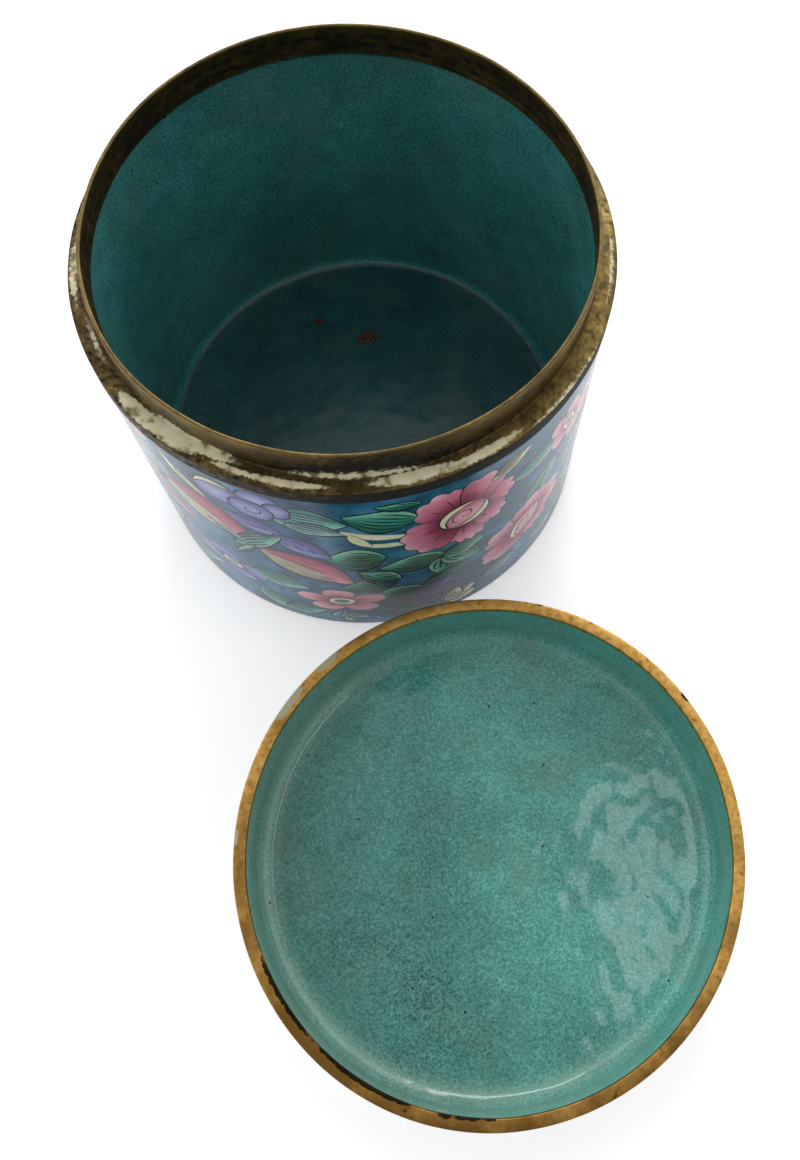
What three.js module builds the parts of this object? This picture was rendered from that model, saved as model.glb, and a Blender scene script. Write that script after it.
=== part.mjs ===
// A round lidded jar of enamelled copper with brass mounts, standing open with its lid lying rim up in
// front of it. Millimetres, +Z up. The origin is on the table, midway between the jar's axis and the lid's.

import * as THREE from "three";

// The jar: a straight copper cylinder under glassy enamel on both sides.
const jarRadius = 54.7;
const jarWall = 3.0;
const ledgeHeight = 82.2;
const baseThickness = 2.2;
const baseRecess = 1.2;
const footWidth = 3.4;
const footSlope = 0.6;
const footRound = 0.8;
const floorFillet = 2.4;

// The brass collar: a band round the outside, a flat ledge that the lid sits on, and an upright neck.
const bandProud = 0.3;
const bandThickness = 1.0;
const bandHeight = 4.1;
const ledgeThickness = 1.6;
const neckHeight = 7.75;
const neckThickness = 0.8;
const neckLean = 0.2;
const lipRound = 0.35;

// The lid: a shallow flat-topped dish with a brass ring on its edge.
const lidHeight = 22.4;
const lidTopThickness = 2.8;
const lidWall = 2.1;
const lidCornerRound = 5.0;
const lidFillet = 4.0;
const ringHeight = 4.0;
const ringThickness = 1.4;
const ringOverhang = 0.2;

// Clearances: the lid's slide over the neck, the space between jar and lid on the table, and the line
// that parts two pieces seated on each other.
const lidClearance = 1.4;
const lidDistance = 4.64;
const seam = 0.3;

// Facets in a full turn, and in the quarter circle of a rounded edge.
const turnFacets = 80;
const roundFacets = 3;

// Radii and heights that follow from those sizes.
const mountRadius = jarRadius + bandProud;
const jarInner = jarRadius - jarWall;
const jarFloor = baseRecess + baseThickness;
const lidRadius = jarRadius;
const lidInner = lidRadius - lidWall;
const ringInner = lidInner - ringOverhang;
const neckOuter = ringInner - lidClearance;
const neckInner = neckOuter - neckThickness;
const bandInner = mountRadius - bandThickness;
const axisDistance = 2 * mountRadius + lidDistance;

const point = (radius, height) => new THREE.Vector2(radius, height);

// The points of a rounded edge: a quarter circle about its centre, from one angle in degrees to another.
function quarter(centreRadius, centreHeight, rounding, fromDegrees, toDegrees) {
  const points = [];
  for (let i = 0; i <= roundFacets; i += 1) {
    const angle = THREE.MathUtils.degToRad(fromDegrees + ((toDegrees - fromDegrees) * i) / roundFacets);
    points.push(point(centreRadius + rounding * Math.cos(angle), centreHeight + rounding * Math.sin(angle)));
  }
  return points;
}

// Turns a profile about the upright axis. The profile runs with the material on its left.
function turned(name, profile, material) {
  const geometry = new THREE.LatheGeometry(profile, turnFacets);
  geometry.rotateX(Math.PI / 2);
  const mesh = new THREE.Mesh(geometry, material);
  mesh.name = name;
  return mesh;
}

// A ring's profile ends where it started.
const closed = (profile) => [...profile, profile[0].clone()];

function jarBody(material) {
  const footInner = jarRadius - footWidth;
  const rebateRadius = bandInner - seam;
  const rebateBottom = ledgeHeight - bandHeight - seam;
  const top = ledgeHeight - ledgeThickness - seam;
  return turned(
    "jar_body",
    [
      point(0, baseRecess),
      point(footInner - footSlope, baseRecess),
      point(footInner, 0),
      ...quarter(jarRadius - footRound, footRound, footRound, -90, 0),
      point(jarRadius, rebateBottom),
      point(rebateRadius, rebateBottom),
      point(rebateRadius, top),
      point(jarInner, top),
      ...quarter(jarInner - floorFillet, jarFloor + floorFillet, floorFillet, 0, -90),
      point(0, jarFloor),
    ],
    material,
  );
}

function jarCollar(material) {
  const ledgeUnderside = ledgeHeight - ledgeThickness;
  const neckTop = ledgeHeight + neckHeight;
  return turned(
    "jar_collar",
    closed([
      point(bandInner, ledgeHeight - bandHeight),
      point(mountRadius, ledgeHeight - bandHeight),
      ...quarter(mountRadius - lipRound, ledgeHeight - lipRound, lipRound, 0, 90),
      point(neckOuter, ledgeHeight),
      ...quarter(neckOuter - lipRound, neckTop - lipRound, lipRound, 0, 90),
      ...quarter(neckInner + lipRound, neckTop - lipRound, lipRound, 90, 180),
      point(neckInner + neckLean, ledgeHeight),
      point(jarInner, ledgeUnderside),
      point(bandInner, ledgeUnderside),
    ]),
    material,
  );
}

// The lid's pieces are drawn the right way up, with the rim that meets the ledge at height 0.
function lidShell(material) {
  const rebateRadius = bandInner - seam;
  const rebateTop = ringHeight + seam;
  const rim = ringThickness + seam;
  const ceiling = lidHeight - lidTopThickness;
  return turned(
    "lid_shell",
    [
      point(0, ceiling),
      ...quarter(lidInner - lidFillet, ceiling - lidFillet, lidFillet, 90, 0),
      point(lidInner, rim),
      point(rebateRadius, rim),
      point(rebateRadius, rebateTop),
      point(lidRadius, rebateTop),
      ...quarter(lidRadius - lidCornerRound, lidHeight - lidCornerRound, lidCornerRound, 0, 90),
      point(0, lidHeight),
    ],
    material,
  );
}

function lidRing(material) {
  return turned(
    "lid_ring",
    closed([
      point(ringInner, 0),
      ...quarter(mountRadius - lipRound, lipRound, lipRound, -90, 0),
      point(mountRadius, ringHeight),
      point(bandInner, ringHeight),
      point(bandInner, ringThickness),
      point(ringInner, ringThickness),
    ]),
    material,
  );
}

// Blue and turquoise vitreous enamel, dulled brass on the jar and brighter brass on the lid's ring.
const blueEnamel = new THREE.MeshStandardMaterial({ color: 0x2f6a8f, roughness: 0.18, metalness: 0.0 });
const turquoiseEnamel = new THREE.MeshStandardMaterial({ color: 0x3b7c76, roughness: 0.18, metalness: 0.0 });
const dullBrass = new THREE.MeshStandardMaterial({ color: 0x6e5a34, roughness: 0.45, metalness: 1.0 });
const brightBrass = new THREE.MeshStandardMaterial({ color: 0xb8873a, roughness: 0.38, metalness: 1.0 });

const jar = new THREE.Group();
jar.add(jarBody(blueEnamel), jarCollar(dullBrass));
jar.position.y = axisDistance / 2;

// The lid is turned over, so its rim faces up and its flat top lies on the table.
const lid = new THREE.Group();
lid.add(lidShell(turquoiseEnamel), lidRing(brightBrass));
lid.rotation.x = Math.PI;
lid.position.set(0, -axisDistance / 2, lidHeight);

const set = new THREE.Group();
set.add(jar, lid);

export default set;
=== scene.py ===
"""A round jar of painted enamel on copper with worn brass mounts, and its lid lying rim up in front."""

import math
import random

import bmesh
import bpy
from mathutils import Matrix, Vector, noise
from mathutils.geometry import delaunay_2d_cdt


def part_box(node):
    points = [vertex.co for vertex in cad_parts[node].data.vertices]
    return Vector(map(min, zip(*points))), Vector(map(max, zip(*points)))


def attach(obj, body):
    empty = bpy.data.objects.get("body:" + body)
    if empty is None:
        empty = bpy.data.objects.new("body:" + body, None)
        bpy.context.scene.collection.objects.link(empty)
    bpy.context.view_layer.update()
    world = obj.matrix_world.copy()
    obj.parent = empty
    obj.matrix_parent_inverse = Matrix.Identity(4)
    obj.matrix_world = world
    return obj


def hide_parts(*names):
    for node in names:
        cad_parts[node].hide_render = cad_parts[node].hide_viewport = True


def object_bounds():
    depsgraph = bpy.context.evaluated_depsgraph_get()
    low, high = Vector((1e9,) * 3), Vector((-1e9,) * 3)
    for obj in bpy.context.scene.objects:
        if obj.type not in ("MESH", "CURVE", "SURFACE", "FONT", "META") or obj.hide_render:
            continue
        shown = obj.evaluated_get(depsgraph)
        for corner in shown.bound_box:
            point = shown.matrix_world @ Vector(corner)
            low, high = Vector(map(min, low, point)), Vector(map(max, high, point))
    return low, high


bl_info = {
    "name": "Painted enamel jar",
    "version": (1, 0, 0),
    "blender": (4, 5, 0),
    "location": "3D View > Sidebar > Enamel jar",
    "description": "Makes a lidded jar of painted enamel on copper with brass mounts",
    "category": "Object",
}

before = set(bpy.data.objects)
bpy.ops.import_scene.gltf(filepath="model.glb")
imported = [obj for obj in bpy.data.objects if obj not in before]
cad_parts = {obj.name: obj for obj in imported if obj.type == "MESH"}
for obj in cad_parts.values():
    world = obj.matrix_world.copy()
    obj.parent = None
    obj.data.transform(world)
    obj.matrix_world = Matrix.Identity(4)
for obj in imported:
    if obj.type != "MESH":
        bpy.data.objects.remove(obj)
cad_low, cad_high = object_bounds()

MM = 0.001
TURN = 2 * math.pi
# Points of a mesh that lie nearer to one another than this are one
MERGED = 0.002 * MM
BODY_LOW, BODY_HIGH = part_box("jar_body")
COLLAR_LOW, COLLAR_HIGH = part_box("jar_collar")
RING_LOW, RING_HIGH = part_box("lid_ring")
MOUNT_RADIUS = (COLLAR_HIGH.x - COLLAR_LOW.x) / 2
ENAMEL_RADIUS = (BODY_HIGH.x - BODY_LOW.x) / 2
JAR_AXIS = Vector((0.0, (COLLAR_LOW.y + COLLAR_HIGH.y) / 2, 0.0))
LID_AXIS = Vector((0.0, (RING_LOW.y + RING_HIGH.y) / 2, 0.0))


def length_property(name, description, default):
    """A size in metres that the sidebar shows as a length."""
    return bpy.props.FloatProperty(
        name=name, description=description, default=default, unit="LENGTH", precision=5
    )


def colour_property(name, description, default):
    """A colour kept as an sRGB hex value."""
    return bpy.props.StringProperty(name=name, description=description, default=default)


class EnamelJarSizes(bpy.types.PropertyGroup):
    """Sizes of the jar, its mounts and its lid."""

    mount_radius: length_property("Mount radius", "Outside of the collar and ring", MOUNT_RADIUS)
    enamel_radius: length_property("Enamel radius", "Outside of the enamelled wall", ENAMEL_RADIUS)
    wall: length_property("Wall", "Thickness of the jar's wall", 3.0 * MM)
    collar_bottom: length_property("Collar bottom", "Height of the band's lower edge", COLLAR_LOW.z)
    neck_top: length_property("Neck top", "Height of the neck's lip", COLLAR_HIGH.z)
    neck_height: length_property("Neck height", "Height of the neck above the ledge", 7.75 * MM)
    neck_thickness: length_property("Neck thickness", "Thickness of the neck's sheet", 0.8 * MM)
    neck_lean: length_property("Neck lean", "How far the neck opens downwards inside", 0.2 * MM)
    ledge_thickness: length_property("Ledge thickness", "Thickness of the ledge's plate", 1.6 * MM)
    band_thickness: length_property("Band thickness", "Thickness of the band's sheet", 1.0 * MM)
    base_thickness: length_property("Base thickness", "Thickness of the jar's base", 2.2 * MM)
    base_recess: length_property("Base recess", "How far the base stands above the table", 1.2 * MM)
    foot_width: length_property("Foot width", "Width of the ring that the jar stands on", 3.4 * MM)
    foot_round: length_property("Foot rounding", "Rounding of the foot's outer edge", 0.8 * MM)
    floor_fillet: length_property("Floor fillet", "Rounding between wall and floor inside", 2.4 * MM)
    lid_height: length_property("Lid height", "Height of the lid with its ring", RING_HIGH.z)
    lid_top: length_property("Lid top", "Thickness of the lid's flat top", 2.8 * MM)
    lid_wall: length_property("Lid wall", "Thickness of the lid's wall", 2.1 * MM)
    lid_fillet: length_property("Lid fillet", "Rounding between wall and top inside the lid", 4.0 * MM)
    lid_corner: length_property("Lid corner", "Rounding of the lid's outer edge", 5.0 * MM)
    ring_height: length_property("Ring height", "Height of the ring's band", RING_HIGH.z - RING_LOW.z)
    ring_thickness: length_property("Ring thickness", "Thickness of the ring's flat", 1.4 * MM)
    ring_overhang: length_property("Ring overhang", "How far the ring stands in past the enamel", 0.2 * MM)
    lid_clearance: length_property("Lid clearance", "Room between the lid's ring and the neck", 1.4 * MM)
    seam: length_property("Seam", "Line between a mount and the enamelled piece", 0.3 * MM)
    edge_round: length_property("Edge rounding", "Rounding of the brass edges", 0.35 * MM)


class EnamelJarColours(bpy.types.PropertyGroup):
    """Colours of the enamels and the brass."""

    ground_deep: colour_property("Deep ground", "Dark clouds of the blue ground", "#0f3a54")
    ground_mid: colour_property("Mid ground", "Most of the blue ground", "#225c7b")
    ground_pale: colour_property("Pale ground", "Pale clouds of the blue ground", "#5888a5")
    lid_dark: colour_property("Lid dark", "Dark grain of the enamel inside the lid", "#2f7267")
    lid_mid: colour_property("Lid turquoise", "Most of the enamel inside the lid", "#4b9288")
    lid_pale: colour_property("Lid pale", "Light grain of the enamel inside the lid", "#7cb6ab")
    # The jar's inside tones are darker and bluer than the lid's; the darkness is partly painted shade for
    # the deep jar
    jar_dark: colour_property("Jar dark", "Dark grain of the enamel inside the jar", "#246263")
    jar_mid: colour_property("Jar turquoise", "Most of the enamel inside the jar", "#3c8584")
    jar_pale: colour_property("Jar pale", "Light grain of the enamel inside the jar", "#5ea5a0")
    copper: colour_property("Copper", "Bare copper where enamel has worn off", "#8f5a3a")
    brass: colour_property("Brass", "Rubbed brass of the neck", "#77663c")
    brass_dark: colour_property("Dark brass", "Tarnish over the brass", "#a89a80")
    gilt: colour_property("Bright brass", "Brushed brass of the lid's ring", "#c4984f")
    crust: colour_property("Residue", "Pale crust left on the ledge", "#d0c9a2")


# Geometry shared by the pieces

# Points round a turned enamel wall, round the collar and round the lid's ring
WALL_STEPS = 300
COLLAR_STEPS = 600
RING_STEPS = 480


def arc(centre_radius, centre_height, rounding, start, end, steps=6):
    """Points of a rounded edge on a profile, between two angles in degrees."""
    points = []
    for i in range(steps + 1):
        angle = math.radians(start + (end - start) * i / steps)
        height = centre_height + rounding * math.sin(angle)
        points.append((centre_radius + rounding * math.cos(angle), height))
    return points


def finer(profile, step):
    """The profile with its long stretches divided, so that the surface can waver between its corners."""
    points = [profile[0]]
    for (r0, z0), (r1, z1) in zip(profile, profile[1:]):
        parts = max(1, round(math.hypot(r1 - r0, z1 - z0) / step))
        for i in range(1, parts + 1):
            points.append((r0 + (r1 - r0) * i / parts, z0 + (z1 - z0) * i / parts))
    return points


def hand_raised(point, depth):
    """How far outwards a hand-raised copper wall strays from round there."""
    slow = noise.noise(Vector((point.x, point.y, point.z * 0.6)) * 22.0)
    quick = noise.noise(point * 75.0)
    return depth * (slow + 0.35 * quick)


def spin_profile(shape, profile, steps):
    """Turns a profile about the upright axis into the shape."""
    points = [shape.verts.new((radius, 0.0, height)) for radius, height in profile]
    edges = [shape.edges.new(pair) for pair in zip(points, points[1:])]
    bmesh.ops.spin(
        shape, geom=points + edges, cent=(0, 0, 0), axis=(0, 0, 1), angle=TURN, steps=steps, use_merge=True
    )


def waver(shape, depth, keep=()):
    """Lets the turned surface stray from true, except at the heights given."""
    for vert in shape.verts:
        flat = Vector((vert.co.x, vert.co.y, 0.0))
        if flat.length > 1 * MM and not any(abs(vert.co.z - height) < 0.1 * MM for height in keep):
            vert.co += flat.normalized() * hand_raised(vert.co, depth)


def settle(shape, sharp=math.radians(35)):
    """Closes seams and poles, points the faces outwards and keeps real corners sharp."""
    bmesh.ops.remove_doubles(shape, verts=shape.verts, dist=MERGED)
    bmesh.ops.recalc_face_normals(shape, faces=shape.faces)
    for face in shape.faces:
        face.smooth = True
    for edge in shape.edges:
        edge.smooth = len(edge.link_faces) == 2 and edge.calc_face_angle(0.0) < sharp


def take_in(shape, part):
    """Adds the surface of another shape to the first."""
    mesh = bpy.data.meshes.new("part")
    part.to_mesh(mesh)
    part.free()
    shape.from_mesh(mesh)
    bpy.data.meshes.remove(mesh)


def finish_piece(shape, name, node, materials, axis):
    """Moves the shape to its axis and makes it the piece that stands for a node."""
    bmesh.ops.translate(shape, verts=shape.verts, vec=axis)
    mesh = bpy.data.meshes.new(name)
    shape.to_mesh(mesh)
    shape.free()
    piece = bpy.data.objects.new(name, mesh)
    bpy.context.scene.collection.objects.link(piece)
    for material in materials:
        mesh.materials.append(material)
    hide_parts(node)
    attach(piece, "root")
    return piece


# Painting in flat shapes on an unrolled surface, in millimetres


def linear(hex_value):
    """An sRGB hex value as linear red, green and blue."""
    values = [int(hex_value[i : i + 2], 16) / 255 for i in (1, 3, 5)]
    return tuple(v / 12.92 if v <= 0.04045 else ((v + 0.055) / 1.055) ** 2.4 for v in values)


def rgba(hex_value):
    """The same with full alpha, as sockets and ramps take it."""
    return (*linear(hex_value), 1.0)


def blend(first, second, share):
    """A colour between two."""
    share = min(max(share, 0.0), 1.0)
    return tuple(a + (b - a) * share for a, b in zip(first, second))


INK = linear("#10181c")
CREAM = linear("#d9d7b4")
# The painter's colours, each from its deepest to its palest
PAINTS = {
    "rose": ("#74183f", "#b04468", "#cf7c95", "#e2b4c0"),
    "pink": ("#8e2848", "#bf5c78", "#d690a2", "#e6bcc4"),
    "violet": ("#303274", "#575aa2", "#777cb8", "#9aa2cc"),
    "iris": ("#1a1a44", "#2c2f6e", "#464a92", "#7a80b8"),
    "green": ("#0d4642", "#257a6b", "#4a9c88", "#8fc8aa"),
    "sea": ("#246a68", "#46958e", "#72b4a8", "#a4d0c0"),
    "moss": ("#08302e", "#17544c", "#347c6c", "#66a084"),
    "grey": ("#4a7a86", "#6a98a0", "#88b2b2", "#a8c8c0"),
    "cream": ("#8c9468", "#c4c592", "#dcdcb8", "#ecead0"),
}
PAINTS = {name: tuple(linear(value) for value in values) for name, values in PAINTS.items()}
# Ink lines are drawn broader than a brush hair leaves them, so that they show from a hand's length away
LINE = 0.45
VEIN = 0.5


class Place:
    """A spot on the painting with its own direction and its own half length and half width."""

    def __init__(self, x, y, turn=0.0, long=1.0, wide=1.0):
        self.centre = Vector((x, y))
        self.along = Vector((math.cos(math.radians(turn)), math.sin(math.radians(turn))))
        self.across = Vector((-self.along.y, self.along.x))
        self.long = long
        self.wide = wide

    def out(self, u, v):
        """From the spot's own measure to the painting's."""
        return self.centre + self.along * (u * self.long) + self.across * (v * self.wide)

    def polar(self, far, angle):
        """The same from a distance and an angle round the spot."""
        return self.out(far * math.cos(angle), far * math.sin(angle))

    def back(self, point):
        """From the painting's measure to the spot's own."""
        away = point - self.centre
        return away.dot(self.along) / self.long, away.dot(self.across) / self.wide

    def turn(self):
        """The spot's direction in degrees."""
        return math.degrees(math.atan2(self.along.y, self.along.x))


class Painting:
    """Flat shapes laid over one another, each with its colour at any point."""

    def __init__(self, low, high):
        self.low = low
        self.high = high
        self.areas = []

    def area(self, outline, shade):
        """Lays one closed outline, kept inside the painting's edges."""
        margin = 0.25
        kept = [Vector((p.x, min(max(p.y, self.low + margin), self.high - margin))) for p in outline]
        doubled = sum(a.x * b.y - b.x * a.y for a, b in zip(kept, kept[1:] + kept[:1]))
        if abs(doubled) > 0.02:
            self.areas.append((kept if doubled > 0 else kept[::-1], shade))

    def edged(self, outline, shade, line=LINE):
        """Lays an outline with an ink line round it."""
        self.area(grown(outline, line), lambda point: INK)
        self.area(outline, shade)

    def stroke(self, path, width, colour, line=0.0):
        """Lays a brush stroke that swells and tapers along a path."""
        left, right = [], []
        count = len(path)
        for i, point in enumerate(path):
            way = (path[min(i + 1, count - 1)] - path[max(i - 1, 0)]).normalized()
            side = Vector((-way.y, way.x))
            half = 0.5 * width * (0.15 + math.sin(math.pi * (i + 0.3) / (count - 0.4)) ** 0.7)
            left.append(point + side * half)
            right.append(point - side * half)
        outline = left + right[::-1]
        if line:
            self.edged(outline, lambda point: colour, line)
        else:
            self.area(outline, lambda point: colour)


def grown(outline, by):
    """The outline moved outwards by a line's width."""
    count = len(outline)
    area = sum(a.x * b.y - b.x * a.y for a, b in zip(outline, outline[1:] + outline[:1]))
    sign = 1.0 if area > 0 else -1.0
    points = []
    for i, point in enumerate(outline):
        way = outline[(i + 1) % count] - outline[i - 1]
        if way.length:
            way.normalize()
        points.append(point + Vector((way.y, -way.x)) * (by * sign))
    return points


def shares(steps):
    """Even shares from 0 to 1."""
    return [i / steps for i in range(steps + 1)]


def leaf_half(t, blunt):
    """Half the width of a leaf at a share of its length."""
    return math.sin(math.pi * t) ** blunt * (1.12 - 0.35 * t)


def leaf_point(place, t, side, blunt, bend):
    """A point of a leaf, at a share of its length and from one edge at -1 to the other at 1."""
    u = 2 * t - 1
    return place.out(u, side * leaf_half(t, blunt) + bend * (1 - u * u))


def paint_leaf(painting, place, paint, bend=0.25, veins=4, blunt=0.85, dashes=False):
    """A leaf, bud, pod or long petal with fine veins."""
    deep, full, soft, pale = PAINTS[paint]
    steps = 15

    def at(t, side):
        return leaf_point(place, t, side, blunt, bend)

    def shade(point):
        u, v = place.back(point)
        t = (u + 1) / 2
        side = (v - bend * (1 - u * u)) / max(leaf_half(min(max(t, 0.02), 0.98), blunt), 0.05)
        tone = blend(full, soft, 0.9 * t)
        tone = blend(tone, deep, max(0.0, side) * 0.85)
        return blend(tone, pale, max(0.0, -side - 0.3) * 1.1)

    outline = [at(i / steps, 1) for i in range(steps)] + [at(1 - i / steps, -1) for i in range(steps)]
    painting.edged(outline, shade)
    for i in range(veins):
        share = i / max(veins - 1, 1)
        if dashes:
            middle = 0.3 + 0.45 * ((i * 0.37) % 1.0)
            path = [at(middle - 0.09 + 0.03 * k, 1.1 * share - 0.72) for k in range(7)]
        else:
            # The veins fan out from the stalk, and those on the dark side run further
            level = 0.72 - 1.3 * share
            first, reach = 0.07 + 0.05 * (i % 2), 0.8 - 0.3 * share
            path = [at(first + reach * k / 8, level - 0.12 * k / 8) for k in range(9)]
        painting.stroke(path, VEIN, INK)
    if veins > 2 and not dashes:
        painting.stroke([at(0.08 + 0.07 * k, 1.08) for k in range(10)], 0.7, INK)
        painting.stroke([at(0.35 + 0.065 * k, -1.06) for k in range(10)], 0.6, INK)


def paint_pod(painting, place, paint="pink", bend=0.18):
    """A long striped bud: pale stripes along one side, a plain rosy back."""
    blunt = 0.75
    line = blend(INK, PAINTS[paint][0], 0.2)
    paint_leaf(painting, place, paint, bend, veins=0, blunt=blunt)

    def at(t, side):
        return leaf_point(place, t, side, blunt, bend)

    for level in (-0.88, -0.7, -0.52, -0.34, -0.16):
        painting.stroke([at(0.05 + 0.66 * k / 10, level) for k in range(11)], 0.75, CREAM)
    for level in (-0.96, -0.79, -0.61, -0.43, -0.25, -0.07, 0.12):
        reach = 0.86 - 0.22 * (level + 0.95)
        painting.stroke([at(0.05 + reach * k / 10, level) for k in range(11)], 0.48, line)


def paint_lobe(painting, place, paint, curl=False, crescent=False):
    """A round petal, with a curled line or a cream crescent."""
    deep, full, _, pale = PAINTS[paint]

    def shade(point):
        u, v = place.back(point)
        tone = blend(pale, full, (u * u + v * v) * 0.9)
        return blend(tone, deep, max(0.0, v - 0.1) * 0.8)

    painting.edged([place.polar(1.0, TURN * i / 26) for i in range(26)], shade)
    if curl:
        painting.stroke([place.polar(0.12 + 0.5 * t, 1.3 + 7.2 * t) for t in shares(16)], 0.3, INK)
    if crescent:
        paint_crescent(painting, place, 40, 175, 0.92)


def paint_crescent(painting, place, start, end, reach, depth=0.3):
    """A cream sliver that follows a petal's rim between two angles in degrees."""
    steps = 12
    outer, inner = [], []
    for i in range(steps + 1):
        angle = math.radians(start + (end - start) * i / steps)
        thin = depth * math.sin(math.pi * i / steps) + 0.02
        outer.append(place.polar(reach, angle))
        inner.append(place.polar(reach - thin, angle))
    painting.edged(outer + inner[::-1], lambda point: CREAM)


# Petals of a peony, from its longest upper one round: direction and half spread in degrees, and reach
PETALS = ((128, 40, 1.0), (276, 32, 0.96), (12, 30, 0.94), (214, 46, 1.06), (324, 30, 0.88), (62, 36, 1.02))


def paint_peony(painting, place, draw, paint="rose"):
    """A full peony: six uneven toothed petals round a cupped heart with cream rims and a curled middle."""
    deep, full, soft, pale = PAINTS[paint]
    for direction, half_spread, length in PETALS:
        middle = math.radians(direction + draw.uniform(-5, 5))
        spread = math.radians(half_spread)
        reach = length * draw.uniform(0.95, 1.05)
        teeth = draw.choice((3, 4, 5))
        lean = draw.uniform(-0.35, 0.35)

        def shade(point, middle=middle, reach=reach, lean=lean, spread=spread):
            u, v = place.back(point)
            far = math.hypot(u, v) / reach
            turn = ((math.atan2(v, u) - middle + math.pi) % TURN - math.pi) / spread
            tone = blend(deep, full, (far - 0.4) * 3.6)
            tone = blend(tone, soft, (far - 0.52) * 3.2)
            tone = blend(tone, pale, (far - 0.84) * 5.0)
            return blend(tone, deep, max(0.0, turn + lean) * (1.25 - far))

        rim = []
        steps = 36
        for i in range(steps + 1):
            share = i / steps
            turn = middle + spread * (2 * share - 1)
            bow = math.sin(math.pi * share) ** 0.4
            tooth = 0.09 * abs(math.sin(math.pi * teeth * share))
            far = reach * (0.44 + 0.5 * bow) + tooth
            rim.append(place.polar(far, turn))
        foot = [place.polar(0.1, middle + a) for a in (0.5, -0.5)]
        painting.edged(rim + foot, shade, 0.32)
        for level in (-0.3, 0.35):
            turn = middle + spread * level
            path = [place.polar((0.42 + 0.04 * k) * reach, turn) for k in range(8)]
            painting.stroke(path, 0.4, blend(deep, INK, 0.2))
    heart = Place(*place.centre, place.turn() + 35, place.long * 0.42, place.wide * 0.32)

    def glow(point):
        u, v = heart.back(point)
        return blend(blend(pale, soft, 0.4), full, (u * u + v * v) * 0.9 + 0.2 * v)

    painting.edged([heart.polar(1.0, TURN * i / 30) for i in range(30)], glow)
    paint_crescent(painting, heart, 30, 190, 1.0, 0.3)
    paint_crescent(painting, heart, 215, 350, 1.0, 0.26)
    painting.stroke([heart.polar(0.08 + 0.5 * t, 2.6 + 7.4 * t) for t in shares(20)], 0.36, INK)


def paint_blossom(painting, place, paint="pink", petals=5, start=0.3, heart="green"):
    """An open flower with rounded petals, dark streaks and a ringed middle."""
    deep, _, soft, pale = PAINTS[paint]
    for number in range(petals):
        middle = start + TURN * number / petals

        def shade(point):
            u, v = place.back(point)
            far = math.hypot(u, v)
            return blend(blend(deep, soft, (far - 0.22) * 2.2), pale, (far - 0.6) * 1.7)

        rim = []
        for i in range(22):
            angle = TURN * i / 22
            along = 0.58 + 0.4 * math.cos(angle)
            side = (0.36 if petals > 4 else 0.46) * math.sin(angle) * (0.75 + 0.35 * along)
            u = along * math.cos(middle) - side * math.sin(middle)
            rim.append(place.out(u, along * math.sin(middle) + side * math.cos(middle)))
        painting.edged(rim, shade, 0.22)
        painting.stroke([place.polar(0.25 + 0.045 * k, middle) for k in range(8)], 0.5, deep)
    ring = [(math.cos(TURN * i / 20), math.sin(TURN * i / 20)) for i in range(20)]
    cream, core = PAINTS["cream"][3], PAINTS[heart][1]
    painting.edged([place.out(0.28 * u, 0.26 * v) for u, v in ring], lambda point: cream)
    painting.edged([place.out(0.17 * u, 0.15 * v) for u, v in ring], lambda point: core, 0.12)


def paint_fan(painting, place, paint, lobes=3, spread=52, blunt=0.55):
    """Rounded leaflets that open from one point."""
    for number in range(lobes):
        turn = spread * (number - (lobes - 1) / 2)
        base = place.turn() + turn
        reach = place.long * (1.0 - 0.12 * abs(number - (lobes - 1) / 2))
        way = Vector((math.cos(math.radians(base)), math.sin(math.radians(base))))
        middle = place.centre + way * reach
        paint_leaf(painting, Place(middle.x, middle.y, base, reach, place.wide), paint, 0.05, 4, blunt)


def curve(start, handle, end, steps=12):
    """Points of a bent line between two ends."""
    a, b, c = Vector(start), Vector(handle), Vector(end)
    return [a * (1 - t) ** 2 + b * 2 * t * (1 - t) + c * t * t for t in shares(steps)]


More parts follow.
